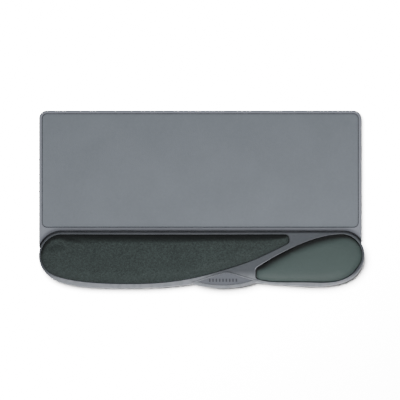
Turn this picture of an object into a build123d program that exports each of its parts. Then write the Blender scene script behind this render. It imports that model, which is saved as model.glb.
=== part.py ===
"""Desk platform for a keyboard and a mouse, with a padded palm rest along its front edge.

A ribbed platform moulding carries a grippy deck mat inside a raised rim. Its low front apron carries a
second moulding, the palm frame, whose sloping top holds two pads in pockets: a long fabric one in front
of the keyboard and a smooth teardrop one in front of the mouse. A bridge runs between the pads down to a
lens-shaped badge on the front edge.

Axes: +X to the user's right, +Y away from the user, +Z up. The origin is the centre of the footprint, on
the desk. Millimetres throughout.
"""

import os
from math import atan, cos, radians, sin, tan

from build123d import *

os.makedirs("parts", exist_ok=True)


# ---------------------------------------------------------------- driving sizes

# Plan
overall_width = 686.0  # across both ends of the palm frame
right_overhang = 6.0  # palm frame past the platform's right side
deck_depth = 253.0  # platform, rear edge to the front of its rim
palm_gap = 4.0  # open channel between the rim and the palm frame
palm_depth = 118.0  # palm frame, rear wall to its most forward point
deck_corner = 17.0  # radius of the platform's rear corners
shoulder_reach = 36.0  # how far the platform's sides run on past its front rim

# Heights above the desk
foot_stand = 2.0  # gap between desk and mouldings
rim_height = 14.0  # top of the platform's rim
rear_lip_height = 26.0  # palm frame's top at its rear wall
front_lip_height = 19.0  # palm frame's top at its most forward point
skirt_clearance = 0.5  # palm frame's lower edge above the platform's underside

# Platform moulding
rim_width = 6.0
recess_depth = 2.6  # rim down to the floor under the mat
deck_skin = 2.4
platform_wall = 2.5
rim_round = 2.5
apron_thickness = 3.0
apron_inset = 0.6  # apron inside the palm frame's wall
rib_thickness = 2.0
rib_pitch_max = 58.0

# Deck mat and the tape under it
mat_thickness = 1.4
mat_gap = 1.5
mat_edge = 0.3
tape_thickness = 0.25
tape_width = 40.0
tape_inset = 12.0
tape_count = 5

# Palm frame moulding
palm_wall = 2.5
palm_skin = 2.4
lip_round = 2.0
pocket_round = 1.4
pocket_depth = 6.5  # lip down to the pocket floor
typing_rear_lip = 4.4  # rear wall to the typing pocket
mousing_rear_lip = 3.8
end_lip = 4.6  # end walls to the pockets
typing_front_lip = 10.0  # front wall to the typing pocket
mousing_front_lip = 9.6
left_end_radius = 49.0
right_end_radius = 44.0
mousing_end_radius = 48.0
widest_share = 0.42  # share of the palm depth where both ends are widest
mousing_front_share = 0.97  # and where the front swells most under the mousing pad

# Pads
pad_gap = 0.4  # pad cover to pocket wall
cover_thickness = 0.9
board_thickness = 3.0
typing_crown = 8.0  # pad top above the lip
mousing_crown = 7.5
pad_round = 6.5
tip_round = 9.0

# Bridge and badge, placed from the right end, which sets the mousing area
typing_tip_from_right = 159.0
typing_tip_width = 17.5
mousing_tip_from_right = 230.0
lens_from_right = 298.0
lens_left_reach = 70.0
lens_right_reach = 78.0
lens_rise = 1.5  # badge surround above the lip plane
lens_round = 1.2
lens_front_round = 4.5
badge_border = 2.8
badge_front_border = 6.5
badge_recess = 2.2
badge_thickness = 1.1
badge_fit = 0.15
grip_bar_count = 9
grip_bar_pitch = 7.0
grip_bar_size = (3.2, 7.0)
grip_bar_height = 0.35

# Fasteners
screw_radius = 1.75
screw_hole_clearance = 0.25
screw_head_radius = 3.5
screw_head_angle = 82
palm_screw_reach = 5.0  # thread inside the palm frame's boss
screw_boss_radius = 4.6
palm_screw_inset = 62.0  # end of the palm frame to the first screw
rear_screw_count = 5
screw_drive_width = 3.4
screw_drive_slot = 0.9
screw_drive_depth = 1.2
pad_screw_radius = 1.4
pad_screw_head_radius = 2.8
pad_screw_head_height = 1.6
pad_screw_bite = 2.4  # thread inside the pad board
pad_screw_drive_width = 2.8

# Feet
foot_radius = 9.0
foot_socket_depth = 1.2
foot_socket_clearance = 0.2
foot_boss_radius = 12.5
foot_edge = 0.8
foot_inset = 30.0  # platform edge to the centre of a foot

# ---------------------------------------------------------------- derived places

overall_depth = deck_depth + palm_gap + palm_depth
left_end = -overall_width / 2
right_end = overall_width / 2
platform_right = right_end - right_overhang
platform_width = platform_right - left_end
platform_centre_x = (left_end + platform_right) / 2
rear_edge = overall_depth / 2
deck_front = rear_edge - deck_depth
deck_centre_y = (rear_edge + deck_front) / 2
palm_rear = deck_front - palm_gap
palm_front = palm_rear - palm_depth

skirt_base = foot_stand + skirt_clearance
apron_top = foot_stand + apron_thickness
recess_floor = rim_height - recess_depth
deck_ceiling = recess_floor - deck_skin

lip_slope = atan((rear_lip_height - front_lip_height) / palm_depth)
lip_normal = (0, -sin(lip_slope), cos(lip_slope))
TALL = rear_lip_height * 3  # taller than anything that is cut from it


def lip_level(rise):
    """The palm frame's sloping top plane, moved up along its own normal by rise."""
    return Plane(origin=(0, palm_rear, rear_lip_height), x_dir=(1, 0, 0), z_dir=lip_normal).offset(rise)


def palm_y(share):
    """Y at a share of the palm depth, from the rear wall (0) to the most forward point (1)."""
    return palm_rear - share * palm_depth


def slab(face, below, above):
    """The upright column on a plan outline, cut off by two sloping planes."""
    with BuildPart() as column:
        with BuildSketch():
            add(face)
        extrude(amount=TALL)
        split(bisect_by=below, keep=Keep.TOP)
        split(bisect_by=above, keep=Keep.BOTTOM)
    return column.part


def inset(outline, amount):
    """The outline moved inwards by amount, or outwards if negative, with its offset curves redrawn as splines."""
    with BuildSketch() as moved:
        add(outline)
        offset(amount=-amount, mode=Mode.REPLACE)
    with BuildSketch() as redrawn:
        with BuildLine():
            for edge in moved.sketch.face().outer_wire().edges():
                if edge.geom_type == GeomType.OFFSET:
                    steps = 3 + int(edge.length / 12)
                    Spline(
                        *[edge @ (i / steps) for i in range(steps + 1)],
                        tangents=[edge % 0, edge % 1],
                        tangent_scalars=[1.0, 1.0],
                    )
                else:
                    add(edge)
        make_face()
    return redrawn.sketch


def rib_places(low, high, pitch):
    """Evenly spaced rib centres strictly between low and high, no further apart than pitch."""
    cells = int((high - low) // pitch) + 1
    step = (high - low) / cells
    return [low + step * i for i in range(1, cells)]


# ---------------------------------------------------------------- plan outlines

widest_y = palm_y(widest_share)

# Palm frame: straight rear wall, round ends, and a front that swells under each pad.
with BuildSketch() as palm_plan:
    with BuildLine():
        rear_line = Line(
            (left_end + left_end_radius, palm_rear), (right_end - right_end_radius, palm_rear)
        )
        EllipticalCenterArc(
            (right_end - right_end_radius, widest_y),
            right_end_radius,
            palm_rear - widest_y,
            start_angle=0,
            arc_size=90,
        )
        Spline(
            (right_end, widest_y),
            (right_end - 5, palm_y(0.60)),
            (right_end - 25, palm_y(0.81)),
            (right_end - 61, palm_y(0.935)),
            (right_end - 114, palm_y(mousing_front_share)),
            (right_end - 178, palm_y(0.94)),
            (right_end - 220, palm_y(0.912)),
            (right_end - lens_from_right, palm_y(0.86)),
            (right_end - 363, palm_y(0.925)),
            (right_end - 431, palm_y(0.985)),
            (left_end + 160, palm_y(1.0)),
            (left_end + 65, palm_y(0.938)),
            (left_end + 27, palm_y(0.820)),
            (left_end + 6, palm_y(0.625)),
            (left_end, widest_y),
            tangents=[(0, -1), (0, 1)],
            tangent_scalars=[1.0, 1.0],
        )
        EllipticalCenterArc(
            (left_end + left_end_radius, widest_y),
            left_end_radius,
            palm_rear - widest_y,
            start_angle=90,
            arc_size=90,
        )
    make_face()

# Typing pocket: follows the left end, then leaves the front wall along the bridge to a blunt tip.
typing_rear = palm_rear - typing_rear_lip
typing_front = palm_front + typing_front_lip
typing_tip_x = right_end - typing_tip_from_right
typing_tip_low = typing_rear - typing_tip_width
with BuildSketch() as typing_pocket:
    with BuildLine():
        typing_rear_line = Line(
            (left_end + left_end_radius, typing_rear), (typing_tip_x, typing_rear)
        )
        Line(typing_rear_line @ 1, (typing_tip_x, typing_tip_low))
        Spline(
            (typing_tip_x, typing_tip_low),
            (right_end - 230, palm_y(0.472)),
            (right_end - 294, palm_y(0.660)),
            (right_end - 357, palm_y(0.805)),
            (right_end - 410, palm_y(0.880)),
            (left_end + 180, typing_front),
            (left_end + 97, palm_y(0.880)),
            (left_end + 55, palm_y(0.822)),
            (left_end + 27, palm_y(0.735)),
            (left_end + 11, palm_y(0.600)),
            (left_end + end_lip, widest_y),
            tangents=[(-0.9, -0.43), (0, 1)],
            tangent_scalars=[1.0, 1.0],
        )
        EllipticalCenterArc(
            (left_end + left_end_radius, widest_y),
            left_end_radius - end_lip,
            typing_rear - widest_y,
            start_angle=90,
            arc_size=90,
        )
    make_face()
    fillet(typing_pocket.vertices().group_by(Axis.X)[-1], radius=tip_round * 0.9)

# Mousing pocket: a teardrop whose blunt tip points at the badge.
mousing_rear = palm_rear - mousing_rear_lip
mousing_front = palm_y(mousing_front_share) + mousing_front_lip
mousing_tip_x = right_end - mousing_tip_from_right
with BuildSketch() as mousing_pocket:
    with BuildLine():
        Spline(
            (mousing_tip_x, palm_y(0.640)),
            (right_end - 178, palm_y(0.380)),
            (right_end - 136, palm_y(0.210)),
            (right_end - 93, palm_y(0.085)),
            (right_end - mousing_end_radius, mousing_rear),
            tangents=[(0.84, 0.54), (1, 0)],
            tangent_scalars=[1.0, 1.0],
        )
        EllipticalCenterArc(
            (right_end - mousing_end_radius, widest_y),
            mousing_end_radius - end_lip,
            mousing_rear - widest_y,
            start_angle=0,
            arc_size=90,
        )
        Spline(
            (right_end - end_lip, widest_y),
            (right_end - 12, palm_y(0.590)),
            (right_end - 30, palm_y(0.765)),
            (right_end - 62, palm_y(0.875)),
            (right_end - 114, mousing_front),
            (right_end - 178, palm_y(0.885)),
            (mousing_tip_x, palm_y(0.820)),
            tangents=[(0, -1), (-0.93, 0.36)],
            tangent_scalars=[1.0, 1.0],
        )
        Line((mousing_tip_x, palm_y(0.820)), (mousing_tip_x, palm_y(0.640)))
    make_face()
    fillet(mousing_pocket.vertices().group_by(Axis.X)[0], radius=tip_round * 0.8)

# Badge surround: two near-straight sides meeting in a soft peak, closed by one long arc in front.
lens_x = right_end - lens_from_right
lens_left = (lens_x - lens_left_reach, palm_y(0.90))
lens_right = (lens_x + lens_right_reach, palm_y(0.868))
lens_peak = (lens_x + 7, palm_y(0.686))
with BuildSketch() as lens_plan:
    with BuildLine():
        Line(lens_left, lens_peak)
        Line(lens_peak, lens_right)
        ThreePointArc(lens_right, (lens_x, palm_front), lens_left)
    make_face()
    fillet(lens_plan.vertices().group_by(Axis.Y)[-1], radius=30)
    fillet(lens_plan.vertices().group_by(Axis.X)[0], radius=2)
    fillet(lens_plan.vertices().group_by(Axis.X)[-1], radius=2)

with BuildSketch() as badge_well:
    add(inset(lens_plan.sketch, badge_border))
    add(
        badge_well.sketch.moved(Location((0, badge_front_border - badge_border))),
        mode=Mode.INTERSECT,
    )

# ---------------------------------------------------------------- repeated places

foot_rows = {
    "rear": rear_edge - foot_inset,
    "middle": deck_front + foot_inset,
    "front": palm_y(0.5),
}
foot_columns = {
    "left": left_end + foot_inset,
    "centre": platform_centre_x,
    "right": platform_right - foot_inset,
}
foot_places = {f"foot_{r}_{c}": (x, y) for r, y in foot_rows.items() for c, x in foot_columns.items()}

rear_screw_pitch = (overall_width - 2 * palm_screw_inset) / (rear_screw_count - 1)
palm_screw_places = [
    (left_end + palm_screw_inset + i * rear_screw_pitch, palm_y(0.17)) for i in range(rear_screw_count)
] + [
    (left_end + palm_screw_inset + (i + 0.5) * rear_screw_pitch, palm_y(0.80))
    for i in range(rear_screw_count - 1)
]
typing_screw_places = [
    (left_end + 95, palm_y(0.36)),
    (left_end + 235, palm_y(0.36)),
    (right_end - 310, palm_y(0.36)),
    (left_end + 95, palm_y(0.62)),
    (left_end + 235, palm_y(0.62)),
]
mousing_screw_places = [
    (right_end - 60, palm_y(0.36)),
    (right_end - 60, palm_y(0.62)),
    (right_end - 155, palm_y(0.62)),
]
pad_screw_places = typing_screw_places + mousing_screw_places

rib_xs = rib_places(left_end, platform_right, rib_pitch_max)
rib_ys = rib_places(deck_front, rear_edge, rib_pitch_max)
palm_rib_xs = rib_places(left_end, right_end, rib_pitch_max)

# ---------------------------------------------------------------- platform shell

with BuildSketch() as palm_footprint:
    add(palm_plan.sketch)
    add(lens_plan.sketch)

palm_inside = inset(palm_footprint.sketch, palm_wall)
apron_plan = inset(palm_footprint.sketch, palm_wall + apron_inset)
bay_plan = inset(palm_plan.sketch, -palm_gap)

# The platform's plan runs on under the back of the palm frame as far as its shoulders reach.
with BuildSketch() as platform_plan:
    with Locations((platform_centre_x, deck_centre_y)):
        RectangleRounded(platform_width, deck_depth, deck_corner)
    with Locations((platform_centre_x, deck_front)):
        Rectangle(platform_width, 2 * shoulder_reach)

with BuildSketch() as rib_cells:
    with Locations((platform_centre_x, deck_centre_y)):
        RectangleRounded(
            platform_width - 2 * platform_wall,
            deck_depth - 2 * platform_wall,
            deck_corner - platform_wall,
        )
    with Locations(*[(x, deck_centre_y) for x in rib_xs]):
        Rectangle(rib_thickness, deck_depth, mode=Mode.SUBTRACT)
    with Locations(*[(platform_centre_x, y) for y in rib_ys]):
        Rectangle(platform_width, rib_thickness, mode=Mode.SUBTRACT)
    with Locations(*foot_places.values()):
        Circle(foot_boss_radius, mode=Mode.SUBTRACT)

with BuildPart() as platform_shell:
    with BuildSketch(Plane.XY.offset(foot_stand)):
        add(platform_plan.sketch)
    extrude(amount=rim_height - foot_stand)
    fillet(platform_shell.faces().sort_by(Axis.Z)[-1].edges(), radius=rim_round)
    # The palm frame's bay, down to the level of the apron, then the apron under the frame's inside.
    with BuildSketch(Plane.XY.offset(apron_top)):
        add(bay_plan)
        with Locations((platform_centre_x, deck_front - palm_depth / 2)):
            Rectangle(right_end - left_end - left_end_radius - right_end_radius, palm_depth)
    extrude(amount=rim_height, mode=Mode.SUBTRACT)
    with BuildSketch(Plane.XY.offset(foot_stand)):
        add(apron_plan)
    extrude(amount=apron_thickness)
    with BuildSketch(Plane.XY.offset(recess_floor)):
        with Locations((platform_centre_x, deck_centre_y)):
            RectangleRounded(
                platform_width - 2 * rim_width,
                deck_depth - 2 * rim_width,
                deck_corner - rim_width,
            )
    extrude(amount=recess_depth, mode=Mode.SUBTRACT)
    with BuildSketch(Plane.XY.offset(foot_stand)):
        add(rib_cells.sketch)
    extrude(amount=deck_ceiling - foot_stand, mode=Mode.SUBTRACT)
    with BuildSketch(Plane.XY.offset(foot_stand)):
        with Locations(*foot_places.values()):
            Circle(foot_radius + foot_socket_clearance)
    extrude(amount=foot_socket_depth, mode=Mode.SUBTRACT)
    for x, y in palm_screw_places:
        with Locations(Plane(origin=(x, y, foot_stand), z_dir=(0, 0, -1))):
            CounterSinkHole(
                radius=screw_radius + screw_hole_clearance,
                counter_sink_radius=screw_head_radius + screw_hole_clearance,
                depth=apron_thickness,
                counter_sink_angle=screw_head_angle,
            )
platform_shell.part.label = "platform_shell"
export_step(platform_shell.part, "parts/platform_shell.step")

# ---------------------------------------------------------------- deck mat and its tape

with BuildPart() as deck_mat:
    with BuildSketch(Plane.XY.offset(recess_floor + tape_thickness)):
        with Locations((platform_centre_x, deck_centre_y)):
            RectangleRounded(
                platform_width - 2 * (rim_width + mat_gap),
                deck_depth - 2 * (rim_width + mat_gap),
                deck_corner - rim_width - mat_gap,
            )
    extrude(amount=mat_thickness)
    chamfer(deck_mat.faces().sort_by(Axis.Z)[-1].edges(), length=mat_edge)
deck_mat.part.label = "deck_mat"
export_step(deck_mat.part, "parts/deck_mat.step")

tape_pitch = (platform_width - 2 * (rim_width + tape_inset) - tape_width) / (tape_count - 1)
with BuildPart() as mat_tape:
    with BuildSketch(Plane.XY.offset(recess_floor)):
        with Locations((platform_centre_x, deck_centre_y)):
            with GridLocations(tape_pitch, 0, tape_count, 1):
                Rectangle(tape_width, deck_depth - 2 * (rim_width + tape_inset))
    extrude(amount=tape_thickness)
mat_tape.part.label = "mat_tape"
export_step(mat_tape.part, "parts/mat_tape.step")

# ---------------------------------------------------------------- palm frame

pocket_floor = lip_level(-pocket_depth)
frame_ceiling = lip_level(-pocket_depth - palm_skin)
above_all = lip_level(rear_lip_height)
skirt_level = Plane.XY.offset(skirt_base)

with BuildSketch() as palm_cells:
    add(palm_inside)
    with Locations(*[(x, palm_y(0.5)) for x in palm_rib_xs]):
        Rectangle(rib_thickness, palm_depth, mode=Mode.SUBTRACT)
    with Locations(*palm_screw_places):
        Circle(screw_boss_radius, mode=Mode.SUBTRACT)

# Badge surround, raised above the lip, with a rounded front that falls towards the user.
with BuildPart() as lens_body:
    add(slab(lens_plan.sketch, skirt_level, lip_level(lens_rise)))
    lens_top = lens_body.faces().sort_by(Axis.Z)[-1]
    fillet(lens_top.edges(), radius=lens_round)

with BuildPart() as palm_frame:
    add(slab(palm_plan.sketch, skirt_level, lip_level(0)))
    fillet(palm_frame.faces().sort_by(Axis.Z)[-1].edges(), radius=lip_round)
    add(lens_body.part)
    add(slab(badge_well.sketch, lip_level(lens_rise - badge_recess), above_all), mode=Mode.SUBTRACT)
    for pocket in (typing_pocket, mousing_pocket):
        add(slab(pocket.sketch, pocket_floor, above_all), mode=Mode.SUBTRACT)
        rim = [e for e in palm_frame.edges(Select.LAST) if abs(lip_level(0).to_local_coords(e.center()).Z) < 0.01]
        fillet(rim, radius=pocket_round)
    # Underside: room for the apron and the platform's shoulders, then rib cells up to the ceiling.
    with BuildSketch(Plane.XY.offset(skirt_base)):
        add(palm_inside)
        with Locations((platform_centre_x, deck_front)):
            Rectangle(platform_width + 2 * apron_inset, 2 * (shoulder_reach + apron_inset))
    extrude(amount=apron_top - skirt_base, mode=Mode.SUBTRACT)
    add(slab(palm_cells.sketch, Plane.XY.offset(apron_top), frame_ceiling), mode=Mode.SUBTRACT)
    with BuildSketch(Plane.XY.offset(apron_top)):
        with Locations(*palm_screw_places):
            Circle(screw_radius)
    extrude(amount=palm_screw_reach + screw_hole_clearance, mode=Mode.SUBTRACT)
    for x, y in pad_screw_places:
        with Locations(frame_ceiling * Location((x, y - palm_rear, 0))):
            Cylinder(
                pad_screw_head_radius + 1.5,
                rear_lip_height,
                align=(Align.CENTER, Align.CENTER, Align.MAX),
                mode=Mode.SUBTRACT,
            )
            Cylinder(
                pad_screw_radius + screw_hole_clearance,
                palm_skin,
                align=(Align.CENTER, Align.CENTER, Align.MIN),
                mode=Mode.SUBTRACT,
            )
palm_frame.part.label = "palm_frame"
export_step(palm_frame.part, "parts/palm_frame.step")

# ---------------------------------------------------------------- badge plate

badge_floor = lip_level(lens_rise - badge_recess)
badge_face = lip_level(lens_rise - badge_recess + badge_thickness)

with BuildPart() as badge_plate:
    add(slab(inset(badge_well.sketch, badge_fit), badge_floor, badge_face))
badge_plate.part.label = "badge_plate"
export_step(badge_plate.part, "parts/badge_plate.step")

with BuildPart() as grip_bars:
    with BuildSketch(badge_face):
        with Locations((lens_x, palm_y(0.855) - palm_rear)):
            with GridLocations(grip_bar_pitch, 0, grip_bar_count, 1):
                SlotOverall(grip_bar_size[1], grip_bar_size[0], rotation=90)
    extrude(amount=grip_bar_height)
grip_bars.part.label = "grip_bars"
export_step(grip_bars.part, "parts/grip_bars.step")

# ---------------------------------------------------------------- pads


def make_pad(name, filling, pocket, crown, screw_places):
    """One pad in its pocket: a rigid board, a soft filling on it, and the cover drawn over both."""
    cover_outline = inset(pocket.sketch, pad_gap)
    filling_outline = inset(pocket.sketch, pad_gap + cover_thickness)
    board_top = lip_level(board_thickness - pocket_depth)
    filling_top = lip_level(crown - cover_thickness)

    with BuildPart() as board:
        add(slab(filling_outline, pocket_floor, board_top))
        for x, y in screw_places:
            with Locations(pocket_floor * Location((x, y - palm_rear, 0))):
                Cylinder(
                    pad_screw_radius,
                    pad_screw_bite,
                    align=(Align.CENTER, Align.CENTER, Align.MIN),
                    mode=Mode.SUBTRACT,
                )
    board.part.label = f"{name}_board"
    export_step(board.part, f"parts/{name}_board.step")

    with BuildPart() as core:
        add(slab(filling_outline, board_top, filling_top))
        fillet(core.faces().sort_by(Axis.Z)[-1].edges(), radius=pad_round - cover_thickness)
    core.part.label = f"{name}_{filling}"
    export_step(core.part, f"parts/{name}_{filling}.step")

    with BuildPart() as cover:
        add(slab(cover_outline, pocket_floor, lip_level(crown)))
        fillet(cover.faces().sort_by(Axis.Z)[-1].edges(), radius=pad_round)
        add(slab(filling_outline, pocket_floor, board_top), mode=Mode.SUBTRACT)
        add(core.part, mode=Mode.SUBTRACT)
    cover.part.label = f"{name}_cover"
    export_step(cover.part, f"parts/{name}_cover.step")


make_pad("typing_pad", "foam", typing_pocket, typing_crown, typing_screw_places)
make_pad("mousing_pad", "gel", mousing_pocket, mousing_crown, mousing_screw_places)

# ---------------------------------------------------------------- fasteners

head_height = (screw_head_radius - screw_radius) / tan(radians(screw_head_angle / 2))
with BuildPart() as countersunk_screw:
    with BuildSketch(Plane.XZ):
        with BuildLine():
            Polyline(
                (0, 0),
                (screw_head_radius, 0),
                (screw_radius, head_height),
                (screw_radius, apron_thickness + palm_screw_reach - screw_radius),
                (0, apron_thickness + palm_screw_reach),
                close=True,
            )
        make_face()
    revolve(axis=Axis.Z)
    with BuildSketch():
        Rectangle(screw_drive_width, screw_drive_slot)
        Rectangle(screw_drive_slot, screw_drive_width)
    extrude(amount=screw_drive_depth, mode=Mode.SUBTRACT)

with BuildPart() as palm_screws:
    with Locations(*[(x, y, foot_stand) for x, y in palm_screw_places]):
        add(countersunk_screw.part)
palm_screws.part.label = "palm_screws"
export_step(palm_screws.part, "parts/palm_screws.step")

with BuildPart() as pan_screw:
    Cylinder(
        pad_screw_head_radius,
        pad_screw_head_height,
        align=(Align.CENTER, Align.CENTER, Align.MAX),
    )
    fillet(pan_screw.edges().sort_by(Axis.Z)[0], radius=pad_screw_head_height / 2)
    Cylinder(
        pad_screw_radius,
        palm_skin + pad_screw_bite,
        align=(Align.CENTER, Align.CENTER, Align.MIN),
    )
    with BuildSketch(Plane.XY.offset(-pad_screw_head_height)):
        Rectangle(pad_screw_drive_width, screw_drive_slot)
        Rectangle(screw_drive_slot, pad_screw_drive_width)
    extrude(amount=pad_screw_head_height / 2, mode=Mode.SUBTRACT)

for name, places in (("typing_pad", typing_screw_places), ("mousing_pad", mousing_screw_places)):
    with BuildPart() as pad_screws:
        with Locations(*[frame_ceiling * Location((x, y - palm_rear, 0)) for x, y in places]):
            add(pan_screw.part)
    pad_screws.part.label = f"{name}_screws"
    export_step(pad_screws.part, f"parts/{name}_screws.step")

# ---------------------------------------------------------------- feet

for name, (x, y) in foot_places.items():
    with BuildPart() as foot:
        with Locations((x, y, 0)):
            Cylinder(
                foot_radius,
                foot_stand + foot_socket_depth,
                align=(Align.CENTER, Align.CENTER, Align.MIN),
            )
        fillet(foot.edges().sort_by(Axis.Z)[0], radius=foot_edge)
    foot.part.label = name
    export_step(foot.part, f"parts/{name}.step")
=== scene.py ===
"""Looks for the wrist rest: a keyboard and mouse platform with a padded palm frame along its front.

The CAD nodes keep their shapes and get moulded, rubber and metal finishes. The two soft pads are made
here: the long knitted typing pad and the smooth teardrop mousing pad. Metres throughout, in the CAD frame.
"""

import math

import bmesh
import bpy
import numpy as np
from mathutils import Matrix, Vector


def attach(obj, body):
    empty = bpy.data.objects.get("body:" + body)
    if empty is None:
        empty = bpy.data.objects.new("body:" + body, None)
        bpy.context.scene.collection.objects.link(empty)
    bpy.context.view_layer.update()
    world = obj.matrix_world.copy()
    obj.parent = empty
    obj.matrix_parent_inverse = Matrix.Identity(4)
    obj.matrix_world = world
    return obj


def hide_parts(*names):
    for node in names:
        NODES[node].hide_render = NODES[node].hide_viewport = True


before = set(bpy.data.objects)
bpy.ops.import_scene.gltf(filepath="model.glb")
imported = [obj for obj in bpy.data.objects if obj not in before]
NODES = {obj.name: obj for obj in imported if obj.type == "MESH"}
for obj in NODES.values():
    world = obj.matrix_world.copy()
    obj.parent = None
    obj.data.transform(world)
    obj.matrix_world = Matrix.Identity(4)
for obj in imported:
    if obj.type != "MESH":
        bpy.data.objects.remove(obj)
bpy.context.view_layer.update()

# ---------------------------------------------------------------- places shared with the mouldings

# The palm frame's top plane: its height at the rear wall and at the most forward point.
LIP_REAR_Y, LIP_REAR_Z = -0.0695, 0.0260
LIP_FRONT_Y, LIP_FRONT_Z = -0.1875, 0.0190
LIP_SLOPE = math.atan2(LIP_REAR_Z - LIP_FRONT_Z, LIP_REAR_Y - LIP_FRONT_Y)
LIP_NORMAL = np.array([0.0, -math.sin(LIP_SLOPE), math.cos(LIP_SLOPE)])
LIP_ORIGIN = np.array([0.0, LIP_REAR_Y, LIP_REAR_Z])
COVER_THICKNESS = 0.0009


def srgb(red, green, blue):
    """Linear colour of an 8-bit display colour: ((c + 0.055) / 1.055) ** 2.4 above the toe."""
    c = np.array([red, green, blue]) / 255.0
    linear = np.where(c <= 0.04045, c / 12.92, ((c + 0.055) / 1.055) ** 2.4)
    return (*linear.tolist(), 1.0)


# ---------------------------------------------------------------- shader helpers


class Tree:
    """Adds and links nodes in one shader tree or group."""

    def __init__(self, tree):
        self.tree = tree

    def add(self, kind, **settings):
        node = self.tree.nodes.new(kind)
        for key, value in settings.items():
            setattr(node, key, value)
        return node

    def link(self, source, target):
        self.tree.links.new(source, target)

    def feed(self, socket, value):
        """Links a socket, or sets a plain value."""
        if isinstance(value, bpy.types.NodeSocket):
            self.link(value, socket)
        else:
            socket.default_value = value

    def math(self, operation, *values, clamp=False):
        node = self.add("ShaderNodeMath", operation=operation, use_clamp=clamp)
        for socket, value in zip(node.inputs, values):
            self.feed(socket, value)
        return node.outputs[0]

    def vector(self, operation, *values):
        node = self.add("ShaderNodeVectorMath", operation=operation)
        for socket, value in zip(node.inputs, values):
            self.feed(socket, value)
        return node.outputs["Value" if operation in ("DOT_PRODUCT", "LENGTH") else "Vector"]

    def scale(self, vector, factor):
        node = self.add("ShaderNodeVectorMath", operation="SCALE")
        self.feed(node.inputs[0], vector)
        self.feed(node.inputs["Scale"], factor)
        return node.outputs["Vector"]

    def noise(self, vector, scale, detail=3.0, roughness=0.5, distortion=0.0):
        node = self.add("ShaderNodeTexNoise")
        self.feed(node.inputs["Vector"], vector)
        self.feed(node.inputs["Scale"], scale)
        node.inputs["Detail"].default_value = detail
        node.inputs["Roughness"].default_value = roughness
        node.inputs["Distortion"].default_value = distortion
        return node.outputs["Fac"]

    def cells(self, vector, scale, feature="F1", randomness=1.0):
        node = self.add("ShaderNodeTexVoronoi", feature=feature)
        self.feed(node.inputs["Vector"], vector)
        self.feed(node.inputs["Scale"], scale)
        node.inputs["Randomness"].default_value = randomness
        return node.outputs["Distance"]

    def smooth(self, value, low, high, to_low=0.0, to_high=1.0):
        """Smoothstep of value from low..high onto to_low..to_high."""
        node = self.add("ShaderNodeMapRange", interpolation_type="SMOOTHSTEP")
        self.feed(node.inputs["Value"], value)
        self.feed(node.inputs["From Min"], low)
        self.feed(node.inputs["From Max"], high)
        self.feed(node.inputs["To Min"], to_low)
        self.feed(node.inputs["To Max"], to_high)
        return node.outputs["Result"]

    def mix(self, factor, first, second):
        """Colour mix of first and second."""
        node = self.add("ShaderNodeMix", data_type="RGBA")
        self.feed(node.inputs[0], factor)
        self.feed(node.inputs[6], first)
        self.feed(node.inputs[7], second)
        return node.outputs[2]

    def bump(self, height, distance, strength=1.0, normal=None):
        node = self.add("ShaderNodeBump")
        self.feed(node.inputs["Height"], height)
        node.inputs["Distance"].default_value = distance
        node.inputs["Strength"].default_value = strength
        if normal is not None:
            self.link(normal, node.inputs["Normal"])
        return node.outputs["Normal"]


def new_group(name, inputs, outputs):
    """A shader node group. inputs are (name, socket type, default), outputs (name, socket type)."""
    group = bpy.data.node_groups.new(name, "ShaderNodeTree")
    for label, kind, default in inputs:
        socket = group.interface.new_socket(name=label, in_out="INPUT", socket_type=kind)
        if default is not None:
            socket.default_value = default
    for label, kind in outputs:
        group.interface.new_socket(name=label, in_out="OUTPUT", socket_type=kind)
    tree = Tree(group)
    return group, tree, tree.add("NodeGroupInput").outputs, tree.add("NodeGroupOutput").inputs


FLOAT, VECTOR = "NodeSocketFloat", "NodeSocketVector"


def moulded_grain_group():
    """Spark-eroded grain on moulded plastic: small rounded pits at a cell size, broken up by noise."""
    group, t, given, out = new_group(
        "moulded grain",
        [("Vector", VECTOR, None), ("Cell size", FLOAT, 0.0006), ("Unevenness", FLOAT, 0.5)],
        [("Height", FLOAT), ("Pits", FLOAT)],
    )
    scale = t.math("DIVIDE", 1.0, given["Cell size"])
    wander = t.noise(given["Vector"], t.math("MULTIPLY", scale, 0.45), 2.0)
    cells = t.cells(given["Vector"], scale, "SMOOTH_F1")
    pits = t.smooth(cells, 0.15, 0.75)
    height = t.math("ADD", pits, t.math("MULTIPLY", wander, given["Unevenness"]))
    t.link(height, out["Height"])
    t.link(pits, out["Pits"])
    return group


def mottle_group():
    """Slow colour and gloss variation: broad and fine noise, each centred on nought and times its amount,
    plus a half."""
    group, t, given, out = new_group(
        "mottle",
        [
            ("Vector", VECTOR, None),
            ("Size", FLOAT, 0.08),
            ("Amount", FLOAT, 0.3),
            ("Fine size", FLOAT, 0.006),
            ("Fine amount", FLOAT, 0.2),
        ],
        [("Value", FLOAT)],
    )
    broad = t.noise(given["Vector"], t.math("DIVIDE", 1.0, given["Size"]), 3.0, 0.55, 0.3)
    fine = t.noise(given["Vector"], t.math("DIVIDE", 1.0, given["Fine size"]), 2.0, 0.6)
    swing = t.math("MULTIPLY", t.math("SUBTRACT", broad, 0.5), given["Amount"])
    ripple = t.math("MULTIPLY", t.math("SUBTRACT", fine, 0.5), given["Fine amount"])
    t.link(t.math("ADD", t.math("ADD", swing, ripple), 0.5, clamp=True), out["Value"])
    return group


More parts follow.
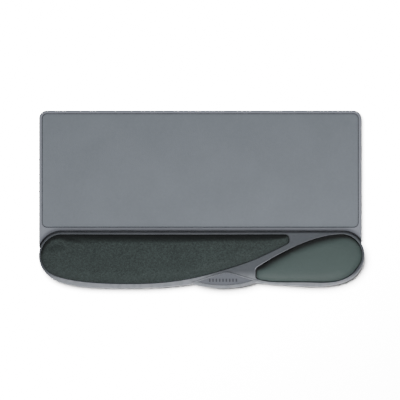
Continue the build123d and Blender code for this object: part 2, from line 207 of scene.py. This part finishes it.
def edge_wear_group():
    """Rubbed edges: where a rounded-over normal turns away from the face's own, broken up by noise."""
    group, t, given, out = new_group(
        "edge wear",
        [("Vector", VECTOR, None), ("Rounded normal", VECTOR, None), ("Breakup size", FLOAT, 0.006)],
        [("Mask", FLOAT)],
    )
    own = t.add("ShaderNodeNewGeometry").outputs["Normal"]
    turn = t.math("SUBTRACT", 1.0, t.vector("DOT_PRODUCT", given["Rounded normal"], own))
    edge = t.smooth(turn, 0.01, 0.16)
    breakup = t.noise(given["Vector"], t.math("DIVIDE", 1.0, given["Breakup size"]), 4.0, 0.65)
    t.link(t.math("MULTIPLY", edge, t.smooth(breakup, 0.25, 0.65, 0.45, 1.0), clamp=True), out["Mask"])
    return group


def lip_highlight_group():
    """Painted highlight on lips: rounded-over places, from how far the face's own normal leans away from
    straight up, most where it leans towards the user and the front lamp and near the front, and lightly the
    whole top forward of a line across the piece (Start to Full, in y). Upright walls get none."""
    group, t, given, out = new_group(
        "painted lip highlight",
        [
            ("Vector", VECTOR, None),
            ("Amount", FLOAT, 0.0),
            ("Start", FLOAT, -0.148),
            ("Full", FLOAT, -0.172),
        ],
        [("Mask", FLOAT)],
    )
    normal = t.add("ShaderNodeNewGeometry").outputs["Normal"]
    upward = t.vector("DOT_PRODUCT", normal, (0.0, 0.0, 1.0))
    wall = t.smooth(upward, 0.05, 0.55)
    lean = t.math("MULTIPLY", t.smooth(upward, 0.985, 0.80), wall)
    towards = t.smooth(t.vector("DOT_PRODUCT", normal, (0.0, -1.0, 0.0)), -0.35, 0.25, 0.12, 1.0)
    along = t.add("ShaderNodeSeparateXYZ")
    t.link(given["Vector"], along.inputs[0])
    forward = t.smooth(along.outputs["Y"], given["Start"], given["Full"], 0.0, 0.34)
    front_band = t.smooth(along.outputs["Y"], -0.085, -0.150, 0.25, 1.0)
    lean = t.math("MULTIPLY", lean, t.math("MULTIPLY", towards, front_band))
    lean = t.math("MAXIMUM", lean, t.math("MULTIPLY", forward, wall))
    breakup = t.smooth(t.noise(given["Vector"], 90.0, 4.0), 0.25, 0.65, 0.7, 1.0)
    mask = t.math("MULTIPLY", lean, breakup)
    t.link(t.math("MULTIPLY", mask, given["Amount"], clamp=True), out["Mask"])
    return group


def cavity_shade_group():
    """Painted shade in grooves and corners: where little open sky is within reach, broken up by noise."""
    group, t, given, out = new_group(
        "cavity painted shade",
        [("Vector", VECTOR, None), ("Reach", FLOAT, 0.004), ("Amount", FLOAT, 0.6)],
        [("Mask", FLOAT)],
    )
    open_sky = t.add("ShaderNodeAmbientOcclusion", samples=6)
    t.link(given["Reach"], open_sky.inputs["Distance"])
    closed = t.smooth(open_sky.outputs["AO"], 0.85, 0.30)
    breakup = t.noise(given["Vector"], 300.0, 3.0)
    mask = t.math("MULTIPLY", closed, t.smooth(breakup, 0.2, 0.7, 0.8, 1.0))
    t.link(t.math("MULTIPLY", mask, given["Amount"], clamp=True), out["Mask"])
    return group


def dust_group():
    """Settled dust: specks that show on faces that look up, from thresholded fine noise."""
    group, t, given, out = new_group(
        "settled dust",
        [("Vector", VECTOR, None), ("Speck size", FLOAT, 0.0014), ("Amount", FLOAT, 0.1)],
        [("Mask", FLOAT)],
    )
    normal = t.add("ShaderNodeNewGeometry").outputs["Normal"]
    up = t.smooth(t.vector("DOT_PRODUCT", normal, (0.0, 0.0, 1.0)), 0.5, 0.95)
    specks = t.noise(given["Vector"], t.math("DIVIDE", 1.0, given["Speck size"]), 2.0, 0.7)
    drift = t.noise(given["Vector"], 14.0, 3.0)
    mask = t.math("MULTIPLY", t.smooth(specks, 0.58, 0.72), t.smooth(drift, 0.35, 0.75))
    t.link(t.math("MULTIPLY", t.math("MULTIPLY", mask, up), given["Amount"], clamp=True), out["Mask"])
    return group


def knit_group():
    """Jersey knit: rows of V-shaped stitches. With u across and v along the columns, a stitch's phase is
    v + |u's distance from the column's middle| and its height a rounded ridge of that phase, times a
    rounded profile across each half column. The gaps between stitches are the low places."""
    group, t, given, out = new_group(
        "jersey knit",
        [("Vector", VECTOR, None), ("Column width", FLOAT, 0.0016), ("Row height", FLOAT, 0.0012)],
        [("Height", FLOAT), ("Gaps", FLOAT), ("Fibres", FLOAT)],
    )
    wander = t.noise(given["Vector"], 220.0, 2.0)
    split = t.add("ShaderNodeSeparateXYZ")
    t.link(given["Vector"], split.inputs[0])
    u = t.math("DIVIDE", split.outputs["X"], given["Column width"])
    v = t.math("DIVIDE", split.outputs["Y"], given["Row height"])
    u = t.math("ADD", u, t.math("MULTIPLY", wander, 0.35))
    slant = t.math("PINGPONG", u, 0.5)
    phase = t.math("ADD", v, t.math("MULTIPLY", slant, 1.3))
    ridge = t.math("ABSOLUTE", t.math("SINE", t.math("MULTIPLY", phase, math.pi)))
    leg = t.math("ABSOLUTE", t.math("SINE", t.math("MULTIPLY", u, 2.0 * math.pi)))
    stitch = t.math("MULTIPLY", t.math("POWER", ridge, 0.6), t.math("POWER", leg, 0.5))
    fibres = t.noise(t.vector("MULTIPLY", given["Vector"], (1.0, 0.35, 1.0)), 5200.0, 3.0, 0.7)
    t.link(t.math("ADD", stitch, t.math("MULTIPLY", fibres, 0.35)), out["Height"])
    t.link(t.smooth(stitch, 0.75, 0.1), out["Gaps"])
    t.link(fibres, out["Fibres"])
    return group


def hide_grain_group():
    """Leather-like grain: pebbles from cell distance with creases between them, at two sizes."""
    group, t, given, out = new_group(
        "hide grain",
        [("Vector", VECTOR, None), ("Pebble size", FLOAT, 0.0011)],
        [("Height", FLOAT), ("Creases", FLOAT)],
    )
    scale = t.math("DIVIDE", 1.0, given["Pebble size"])
    offset = t.add("ShaderNodeTexNoise")
    t.link(given["Vector"], offset.inputs["Vector"])
    t.link(t.math("MULTIPLY", scale, 0.4), offset.inputs["Scale"])
    stray = t.scale(offset.outputs["Color"], t.math("MULTIPLY", given["Pebble size"], 1.4))
    moved = t.vector("ADD", given["Vector"], stray)
    large = t.cells(moved, scale, "DISTANCE_TO_EDGE")
    small = t.cells(moved, t.math("MULTIPLY", scale, 2.6), "DISTANCE_TO_EDGE")
    pebbles = t.math("ADD", t.smooth(large, 0.0, 0.22), t.math("MULTIPLY", t.smooth(small, 0.0, 0.3), 0.35))
    t.link(pebbles, out["Height"])
    t.link(t.smooth(large, 0.12, 0.0), out["Creases"])
    return group


GRAIN = moulded_grain_group()
MOTTLE = mottle_group()
EDGE_WEAR = edge_wear_group()
LIP_HIGHLIGHT = lip_highlight_group()
CAVITY_SHADE = cavity_shade_group()
DUST = dust_group()
KNIT = knit_group()
HIDE = hide_grain_group()


def hem_shade(t, base, front, rear, shade):
    """Painted shade on a pad's cover: darkens it towards its hem, by front all round, and by rear on the
    side facing back.
    """
    hem = t.add("ShaderNodeAttribute", attribute_name="hem").outputs["Fac"]
    rearward = t.add("ShaderNodeAttribute", attribute_name="rearward").outputs["Fac"]
    near = t.smooth(hem, 0.0, 0.75)
    back = t.math("MULTIPLY", t.smooth(rearward, 0.02, 0.45), rear)
    return t.mix(t.math("ADD", t.math("MULTIPLY", near, front), back, clamp=True), base, shade)


def start_material(name):
    """A new material: its tree, its Principled BSDF and the piece's own coordinates."""
    material = bpy.data.materials.new(name)
    material.use_nodes = True
    t = Tree(material.node_tree)
    material.node_tree.nodes.clear()
    shader = t.add("ShaderNodeBsdfPrincipled")
    output = t.add("ShaderNodeOutputMaterial")
    t.link(shader.outputs[0], output.inputs[0])
    place = t.add("ShaderNodeTexCoord").outputs["Object"]
    return material, t, shader.inputs, place


def use(t, group, **values):
    """A placed group. Keyword names are the socket names with underscores for spaces."""
    node = t.add("ShaderNodeGroup", node_tree=group)
    for key, value in values.items():
        t.feed(node.inputs[key.replace("_", " ")], value)
    return node.outputs


def rounded_normal(t, radius):
    """Normal with sharp edges eased over a radius."""
    node = t.add("ShaderNodeBevel", samples=6)
    node.inputs["Radius"].default_value = radius
    return node.outputs["Normal"]


def moulded_plastic(
    name,
    colour,
    wear_and_highlight,
    cell=0.0007,
    depth=0.00006,
    rough=0.5,
    mottling=0.35,
    edge=0.0007,
    rub=0.55,
    lip=0.0,
    specular=0.5,
):
    """Grained moulding: mottled colour, rubbed lighter edges, a painted highlight on leaning lips, painted
    shade in grooves, dust, and pits in the bump and the gloss. cell and depth are the grain's, edge is the
    radius of eased edges, rub sets how strong the edge wear is and lip how strong the painted lip highlight
    is."""
    material, t, shader, place = start_material(name)
    ease = rounded_normal(t, edge)
    grain = use(t, GRAIN, Vector=place, Cell_size=cell)
    mottle = use(t, MOTTLE, Vector=place, Size=0.09, Amount=mottling, Fine_size=0.005, Fine_amount=0.35)
    wear = use(t, EDGE_WEAR, Vector=place, Rounded_normal=ease)
    specks = use(t, DUST, Vector=place, Amount=0.08)
    dark = tuple(c * 0.82 for c in colour[:3]) + (1.0,)
    light = tuple(min(1.0, c * 1.18) for c in colour[:3]) + (1.0,)
    base = t.mix(mottle["Value"], dark, light)
    base = t.mix(t.math("MULTIPLY", wear["Mask"], rub), base, wear_and_highlight)
    # Painted highlight: lips leaning towards the user and the front lamp, and the top near the front, are
    # lightened.
    base = t.mix(use(t, LIP_HIGHLIGHT, Vector=place, Amount=lip)["Mask"], base, wear_and_highlight)
    # Painted shade: grooves, corners and channels where little open sky is within reach are darkened.
    base = t.mix(use(t, CAVITY_SHADE, Vector=place, Amount=0.85)["Mask"], base, srgb(22, 23, 25))
    base = t.mix(specks["Mask"], base, srgb(190, 188, 182))
    t.link(base, shader["Base Color"])
    gloss = t.math("ADD", t.math("MULTIPLY", grain["Pits"], 0.12), rough - 0.06)
    gloss = t.math("SUBTRACT", gloss, t.math("MULTIPLY", wear["Mask"], 0.14))
    t.link(t.math("ADD", gloss, t.math("MULTIPLY", specks["Mask"], 0.5)), shader["Roughness"])
    t.link(t.bump(grain["Height"], depth, 1.0, ease), shader["Normal"])
    shader["Specular IOR Level"].default_value = specular
    return material


def knitted_cover(name, colour, gap_shade, sheen_colour):
    """Tight jersey over foam: stitch relief, painted shade in the gaps, lighter fibre tips, soft sheen, and
    painted shade towards the hem.
    """
    material, t, shader, place = start_material(name)
    knit = use(t, KNIT, Vector=place)
    mottle = use(t, MOTTLE, Vector=place, Size=0.04, Amount=0.35, Fine_size=0.0032, Fine_amount=1.6)
    specks = use(t, DUST, Vector=place, Amount=0.10)
    light = tuple(min(1.0, c * 1.75) for c in colour[:3]) + (1.0,)
    dark = tuple(c * 0.42 for c in colour[:3]) + (1.0,)
    base = t.mix(mottle["Value"], dark, light)
    base = t.mix(t.smooth(knit["Fibres"], 0.45, 0.75, 0.0, 0.30), base, sheen_colour)
    # Painted shade: the gaps between stitches are darkened.
    base = t.mix(t.math("MULTIPLY", knit["Gaps"], 0.7), base, gap_shade)
    # Painted shade towards the hem and on the side facing back.
    base = hem_shade(t, base, 0.15, 0.70, srgb(6, 8, 8))
    base = t.mix(specks["Mask"], base, srgb(150, 150, 146))
    t.link(base, shader["Base Color"])
    t.link(t.smooth(knit["Gaps"], 0.0, 1.0, 0.82, 0.95), shader["Roughness"])
    t.link(t.bump(knit["Height"], 0.00028, 1.0), shader["Normal"])
    shader["Sheen Weight"].default_value = 0.08
    shader["Sheen Roughness"].default_value = 0.45
    shader["Sheen Tint"].default_value = sheen_colour
    shader["Specular IOR Level"].default_value = 0.25
    return material


def leatherette_cover(name, colour, crease_shade):
    """Smooth coated cover: shallow pebbles, painted shade in the creases, which are also duller, low gloss,
    and painted shade towards the hem.
    """
    material, t, shader, place = start_material(name)
    grain = use(t, HIDE, Vector=place)
    mottle = use(t, MOTTLE, Vector=place, Size=0.05, Amount=0.4)
    specks = use(t, DUST, Vector=place, Amount=0.07)
    light = tuple(min(1.0, c * 1.16) for c in colour[:3]) + (1.0,)
    dark = tuple(c * 0.84 for c in colour[:3]) + (1.0,)
    base = t.mix(mottle["Value"], dark, light)
    # Painted shade: the creases between pebbles are darkened.
    base = t.mix(t.math("MULTIPLY", grain["Creases"], 0.35), base, crease_shade)
    # Painted shade towards the hem and on the side facing back.
    base = hem_shade(t, base, 0.16, 0.88, srgb(8, 12, 12))
    base = t.mix(specks["Mask"], base, srgb(170, 172, 168))
    t.link(base, shader["Base Color"])
    gloss = t.math("ADD", t.math("MULTIPLY", grain["Creases"], 0.14), 0.50)
    gloss = t.math("ADD", gloss, t.math("MULTIPLY", mottle["Value"], 0.10))
    t.link(gloss, shader["Roughness"])
    t.link(t.bump(grain["Height"], 0.00005, 0.8), shader["Normal"])
    shader["Specular IOR Level"].default_value = 0.32
    return material


def moulded_rubber(name, colour):
    """Matt rubber with a faint skin and grey scuffs."""
    material, t, shader, place = start_material(name)
    grain = use(t, GRAIN, Vector=place, Cell_size=0.0004, Unevenness=0.8)
    scuffs = use(t, MOTTLE, Vector=place, Size=0.006, Amount=1.6)
    scuffed = t.smooth(scuffs["Value"], 0.5, 0.9, 0.0, 0.5)
    t.link(t.mix(scuffed, colour, srgb(70, 70, 70)), shader["Base Color"])
    t.link(t.smooth(scuffs["Value"], 0.2, 0.9, 0.72, 0.9), shader["Roughness"])
    t.link(t.bump(grain["Height"], 0.00005), shader["Normal"])
    return material


def plated_steel(name):
    """Zinc-plated steel: patchy spangle in colour and gloss."""
    material, t, shader, place = start_material(name)
    patches = t.cells(place, 900.0)
    spangle = t.mix(t.smooth(patches, 0.1, 0.8), srgb(176, 178, 182), srgb(206, 206, 204))
    t.link(spangle, shader["Base Color"])
    t.link(t.smooth(patches, 0.1, 0.8, 0.24, 0.42), shader["Roughness"])
    shader["Metallic"].default_value = 1.0
    return material


def soft_filling(name, colour, cell, rough):
    """Hidden foam or gel: cells in the bump, and painted shade in their pits."""
    material, t, shader, place = start_material(name)
    grain = use(t, GRAIN, Vector=place, Cell_size=cell, Unevenness=1.0)
    dark = tuple(c * 0.7 for c in colour[:3]) + (1.0,)
    # Painted shade: the pits of the cells are darkened.
    t.link(t.mix(grain["Pits"], dark, colour), shader["Base Color"])
    t.link(t.smooth(grain["Pits"], 0.0, 1.0, rough, rough * 0.85), shader["Roughness"])
    t.link(t.bump(grain["Height"], cell * 0.3), shader["Normal"])
    return material


# ---------------------------------------------------------------- pads


def lip_rise(points):
    """Height of points above the sloping lip plane, along its normal: (p - origin) . normal."""
    return (points - LIP_ORIGIN) @ LIP_NORMAL


def wall_segments(node):
    """Plan segments (start, end) and outward normals of a node's upright walls, the faces whose normal
    is level."""
    mesh = NODES[node].data
    corners = np.empty(len(mesh.vertices) * 3)
    mesh.vertices.foreach_get("co", corners)
    corners = corners.reshape(-1, 3)
    mesh.calc_loop_triangles()
    index = np.empty(len(mesh.loop_triangles) * 3, dtype=np.int64)
    mesh.loop_triangles.foreach_get("vertices", index)
    tri = corners[index.reshape(-1, 3)]
    normal = np.cross(tri[:, 1] - tri[:, 0], tri[:, 2] - tri[:, 0])
    area = np.linalg.norm(normal, axis=1)
    tri, normal = tri[area > 1e-12], normal[area > 1e-12] / area[area > 1e-12, None]
    level = np.abs(normal[:, 2]) < 0.02
    tri, normal = tri[level][:, :, :2], normal[level][:, :2]
    # The longest of a triangle's three plan edges spans the other two, because the wall is upright.
    ends = np.stack([tri, np.roll(tri, -1, axis=1)], axis=2)
    longest = np.argmax(np.linalg.norm(ends[:, :, 1] - ends[:, :, 0], axis=2), axis=1)
    ends = ends[np.arange(len(ends)), longest]
    return ends[:, 0], ends[:, 1], normal


def depth_inside(points, walls):
    """Distance in plan from points to the nearest wall segment, positive on the inner side:
    q = a + clip((p - a) . (b - a) / |b - a|^2) (b - a), and the sign is that of -(p - q) . normal."""
    start, end, normal = walls
    run = end - start
    length2 = np.maximum((run**2).sum(axis=1), 1e-16)
    result = np.empty(len(points))
    for chunk in np.array_split(np.arange(len(points)), max(1, len(points) // 2000)):
        p = points[chunk][:, None, :2]
        share = np.clip(((p - start) * run).sum(axis=2) / length2, 0.0, 1.0)
        away = p - (start + share[:, :, None] * run)
        distance2 = (away**2).sum(axis=2)
        near = np.argmin(distance2, axis=1)
        rows = np.arange(len(chunk))
        side = -np.sign((away[rows, near] * normal[near]).sum(axis=1))
        result[chunk] = np.sqrt(distance2[rows, near]) * np.where(side == 0, 1.0, side)
    return result


def read_points(mesh):
    flat = np.empty(len(mesh.vertices) * 3)
    mesh.vertices.foreach_get("co", flat)
    return flat.reshape(-1, 3)


def write_points(mesh, points):
    mesh.vertices.foreach_set("co", points.astype(np.float64).ravel())
    mesh.update()


def apply_modifiers(obj):
    """Bakes the object's modifiers into a new mesh of its own."""
    depsgraph = bpy.context.evaluated_depsgraph_get()
    baked = bpy.data.meshes.new_from_object(obj.evaluated_get(depsgraph))
    obj.modifiers.clear()
    old, obj.data = obj.data, baked
    bpy.data.meshes.remove(old)


VOXEL = 0.003
DRAW_IN = -0.0012  # how far below the lip plane the pad's skin leaves its upright side
HEM_REACH = 1.7  # width of the shaded hem, in shoulders
REAR_LEFT = np.array([-0.35, 0.94, 0.0])  # the way a pad's shaded side faces


def vertex_normals(mesh):
    flat = np.empty(len(mesh.vertices) * 3)
    mesh.vertices.foreach_get("normal", flat)
    return flat.reshape(-1, 3)


def crowned_pad(name, filling, crown, shoulder, swell, bulge, evening):
    """A stuffed cover in its pocket.

    Starts from a copy of the filling, remeshed evenly and grown by the cover's thickness. With d the
    distance in from the pad's outline, its top lies above the lip plane by
    crown (0.80 sqrt(1 - (1 - d/shoulder)^2) + 0.20 sin(pi/2 d/(5 shoulder))), each d/... clipped at 1.
    Below the lip the sides stay in the pocket. Just above the lip the skin rolls out over the pocket's
    edge, along its own level normal by bulge exp(-((rise - 1.5 mm) / 2 mm)^2) (1 - d/(shoulder/2)), where
    rise is the height above the lip.
    Cloth under pressure then swells the top by at most swell, and evening is how many passes of smoothing
    take out its wrinkles.
    """
    mesh = bpy.data.meshes.new(name)
    build = bmesh.new()
    build.from_mesh(NODES[filling].data)
    bmesh.ops.remove_doubles(build, verts=build.verts, dist=1e-6)
    build.to_mesh(mesh)
    build.free()
    pad = bpy.data.objects.new(name, mesh)
    bpy.context.scene.collection.objects.link(pad)
    remesh = pad.modifiers.new("even faces", "REMESH")
    remesh.mode, remesh.voxel_size = "VOXEL", VOXEL
    apply_modifiers(pad)
    mesh = pad.data

    points = read_points(mesh)
    normals = vertex_normals(mesh)
    points = points + normals * COVER_THICKNESS
    depth = depth_inside(points, wall_segments(filling)) + COVER_THICKNESS
    rise = lip_rise(points)
    top = float(rise.max())
    inward = np.clip(depth / shoulder, 0.0, 1.0)
    broad = np.sin(0.5 * np.pi * np.clip(depth / (5.0 * shoulder), 0.0, 1.0))
    dome = crown * (0.80 * np.sqrt(1.0 - (1.0 - inward) ** 2) + 0.20 * broad)
    lifted = DRAW_IN + (dome - DRAW_IN) * np.clip(rise / top, 0.0, 1.0) ** 0.35
    target = np.where(rise > 0.0, lifted, rise)
    points = points + (target - rise)[:, None] * LIP_NORMAL
    level = normals[:, :2]
    level = level / np.maximum(np.linalg.norm(level, axis=1), 1e-6)[:, None]
    near_edge = np.clip(1.0 - depth / (0.5 * shoulder), 0.0, 1.0)
    roll = bulge * np.exp(-(((target - 0.0015) / 0.002) ** 2)) * near_edge
    points[:, :2] += roll[:, None] * level
    write_points(mesh, points)

    rest = read_points(mesh)
    held = pad.vertex_groups.new(name="held")
    rest_rise = lip_rise(rest)
    held.add(np.nonzero(rest_rise < 0.0004)[0].tolist(), 1.0, "REPLACE")
    cloth = pad.modifiers.new("swell", "CLOTH")
    cloth.settings.quality = 5
    cloth.settings.mass = 0.15
    cloth.settings.tension_stiffness = 18.0
    cloth.settings.compression_stiffness = 18.0
    cloth.settings.shear_stiffness = 6.0
    cloth.settings.bending_stiffness = 0.8
    cloth.settings.use_pressure = True
    cloth.settings.uniform_pressure_force = 4.0
    cloth.settings.effector_weights.gravity = 0.0
    cloth.settings.vertex_group_mass = "held"
    cloth.collision_settings.use_collision = False
    cloth.point_cache.frame_start, cloth.point_cache.frame_end = 1, 20
    for number in range(1, 21):
        bpy.context.scene.frame_set(number)
    apply_modifiers(pad)
    bpy.context.scene.frame_set(1)
    mesh = pad.data
    moved = read_points(mesh) - rest
    far = np.linalg.norm(moved, axis=1)
    moved *= (np.minimum(far, swell) / np.maximum(far, 1e-9))[:, None]
    write_points(mesh, rest + moved)

    smooth = pad.modifiers.new("even skin", "SMOOTH")
    smooth.factor, smooth.iterations = 0.5, evening
    finer = pad.modifiers.new("finer", "SUBSURF")
    finer.levels = finer.render_levels = 1
    apply_modifiers(pad)
    pad.data.polygons.foreach_set("use_smooth", [True] * len(pad.data.polygons))

    # For the painted shade in the finish: how near the front or rear hem a point is, and how much it faces
    # the rear left.
    points = read_points(pad.data)
    depth = depth_inside(points, wall_segments(filling)) + COVER_THICKNESS
    hem = 1.0 - np.clip(depth / (HEM_REACH * shoulder), 0.0, 1.0)
    normals = vertex_normals(pad.data)
    fore_and_aft = np.abs(normals[:, 1]) / np.maximum(np.hypot(normals[:, 0], normals[:, 1]), 1e-3)
    hem *= 0.3 + 0.7 * fore_and_aft
    rearward = np.clip(normals @ REAR_LEFT, 0.0, 1.0)
    for label, values in (("hem", hem), ("rearward", rearward)):
        attribute = pad.data.attributes.new(label, "FLOAT", "POINT")
        attribute.data.foreach_set("value", values.astype(np.float32))
    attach(pad, "root")
    return pad


typing_pad = crowned_pad("typing_pad", "typing_pad_foam", 0.0080, 0.0085, 0.0022, 0.0016, 4)
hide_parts("typing_pad_cover", "typing_pad_foam")

mousing_pad = crowned_pad("mousing_pad", "mousing_pad_gel", 0.0078, 0.0095, 0.0014, 0.0018, 16)
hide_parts("mousing_pad_cover", "mousing_pad_gel")

# ---------------------------------------------------------------- finishes

FINISHES = {
    "platform_shell": moulded_plastic(
        "platform moulding", srgb(114, 118, 127), srgb(148, 152, 160), rub=0.2
    ),
    "deck_mat": moulded_plastic(
        "deck mat sheet",
        srgb(98, 104, 111),
        srgb(120, 125, 132),
        cell=0.0010,
        depth=0.00010,
        rough=0.62,
        mottling=0.6,
        edge=0.0003,
    ),
    "palm_frame": moulded_plastic(
        "palm frame moulding",
        srgb(60, 64, 69),
        # lighter colour for the edge wear and for the painted lip highlight
        srgb(196, 200, 208),
        rough=0.46,
        edge=0.0006,
        lip=0.8,
        specular=0.3,
    ),
    "badge_plate": moulded_plastic(
        "badge plate",
        srgb(74, 78, 86),
        srgb(120, 124, 130),
        cell=0.0004,
        depth=0.00003,
        rough=0.4,
        edge=0.0003,
    ),
    "grip_bars": moulded_rubber("grip bar rubber", srgb(44, 46, 52)),
    "mat_tape": soft_filling("tape film", srgb(214, 212, 204), 0.0006, 0.5),
    "typing_pad_foam": soft_filling("open foam", srgb(222, 214, 180), 0.0007, 0.95),
    "mousing_pad_gel": soft_filling("clear gel", srgb(150, 168, 182), 0.0040, 0.2),
    "typing_pad_board": moulded_plastic("pad board", srgb(42, 42, 44), srgb(70, 70, 72)),
}
FINISHES["mousing_pad_board"] = FINISHES["typing_pad_board"]
rubber = moulded_rubber("foot rubber", srgb(30, 30, 31))
steel = plated_steel("screw steel")
for node_name, node in NODES.items():
    finish = FINISHES.get(node_name) or (steel if node_name.endswith("screws") else rubber)
    node.data.materials.clear()
    node.data.materials.append(finish)

typing_pad.data.materials.append(
    knitted_cover("typing pad knit", srgb(46, 54, 53), srgb(16, 21, 20), srgb(88, 100, 97))
)
mousing_pad.data.materials.append(
    leatherette_cover("mousing pad leatherette", srgb(55, 68, 66), srgb(37, 47, 45))
)

# ---------------------------------------------------------------- studio


def square_sheet(name, half, height):
    """Level square: corners (+-half, +-half, height)."""
    mesh = bpy.data.meshes.new(name)
    mesh.from_pydata(
        [(-half, -half, height), (half, -half, height), (half, half, height), (-half, half, height)],
        [],
        [(0, 1, 2, 3)],
    )
    sheet = bpy.data.objects.new(name, mesh)
    bpy.context.scene.collection.objects.link(sheet)
    return sheet


floor = square_sheet("studio_floor", 6.0, -0.0002)
paper, paper_tree, paper_shader, paper_place = start_material("studio paper")
paper_grain = use(paper_tree, MOTTLE, Vector=paper_place, Size=0.5, Amount=0.02)
paper_tree.link(
    paper_tree.mix(paper_grain["Value"], srgb(244, 244, 244), srgb(250, 250, 250)),
    paper_shader["Base Color"],
)
paper_shader["Roughness"].default_value = 0.9
floor.data.materials.append(paper)
# The paper is lit far more than the rest, so its bounce stays off the sides.
floor.visible_diffuse = floor.visible_glossy = False


def soft_lamp(name, place, target, size, watts, lights):
    """Area lamp at place facing target, size (width, height) in metres, that lights one collection only."""
    data = bpy.data.lights.new(name, "AREA")
    data.shape, data.size, data.size_y = "RECTANGLE", size[0], size[1]
    data.energy = watts
    lamp = bpy.data.objects.new(name, data)
    lamp.location = place
    lamp.rotation_euler = (Vector(target) - Vector(place)).to_track_quat("-Z", "Y").to_euler()
    bpy.context.scene.collection.objects.link(lamp)
    lamp.light_linking.receiver_collection = lights
    return lamp


def gathered(name, objects):
    """A collection of objects for the lamps to pick out, not linked into the scene."""
    collection = bpy.data.collections.new(name)
    for one in objects:
        collection.objects.link(one)
    return collection


rest = gathered("lit as the rest", [*NODES.values(), typing_pad, mousing_pad])
paper_only = gathered("lit as the paper", [floor])
soft_lamp("key_front", (0.12, -0.90, 0.92), (0.0, 0.0, 0.0), (0.9, 0.5), 19.0, rest)
soft_lamp("side_left", (-1.15, 0.30, 0.95), (0.0, 0.0, 0.0), (0.4, 0.8), 6.0, rest)
soft_lamp("side_right", (1.15, 0.30, 0.95), (0.0, 0.0, 0.0), (0.4, 0.8), 6.0, rest)
soft_lamp("low_front", (0.0, -1.5, 0.22), (0.0, 0.0, 0.0), (1.6, 0.4), 7.0, rest)
soft_lamp("low_rear", (0.0, 1.5, 0.22), (0.0, 0.0, 0.0), (1.6, 0.4), 5.0, rest)
soft_lamp("top_soft", (0.0, -0.1, 1.5), (0.0, -0.1, 0.0), (0.6, 0.6), 2.6, rest)
soft_lamp("paper_light", (-0.50, 0.80, 1.9), (0.0, 0.0, 0.0), (1.4, 1.4), 1200.0, paper_only)

world = bpy.data.worlds.new("studio air")
bpy.context.scene.world = world
world.use_nodes = True
world.node_tree.nodes["Background"].inputs["Color"].default_value = (1.0, 1.0, 1.0, 1.0)
world.node_tree.nodes["Background"].inputs["Strength"].default_value = 0.26

# Straight down on the platform, from far enough off that heights hardly spread.
lens = bpy.data.cameras.new("camera")
lens.lens = 213.0  # millimetres
lens.sensor_width = 36.0
lens.clip_end = 50.0
camera = bpy.data.objects.new("camera", lens)
camera.location = (-0.0035, -0.0013, 5.0)
camera.rotation_euler = (0.0, 0.0, 0.0)
bpy.context.scene.collection.objects.link(camera)
bpy.context.scene.camera = camera
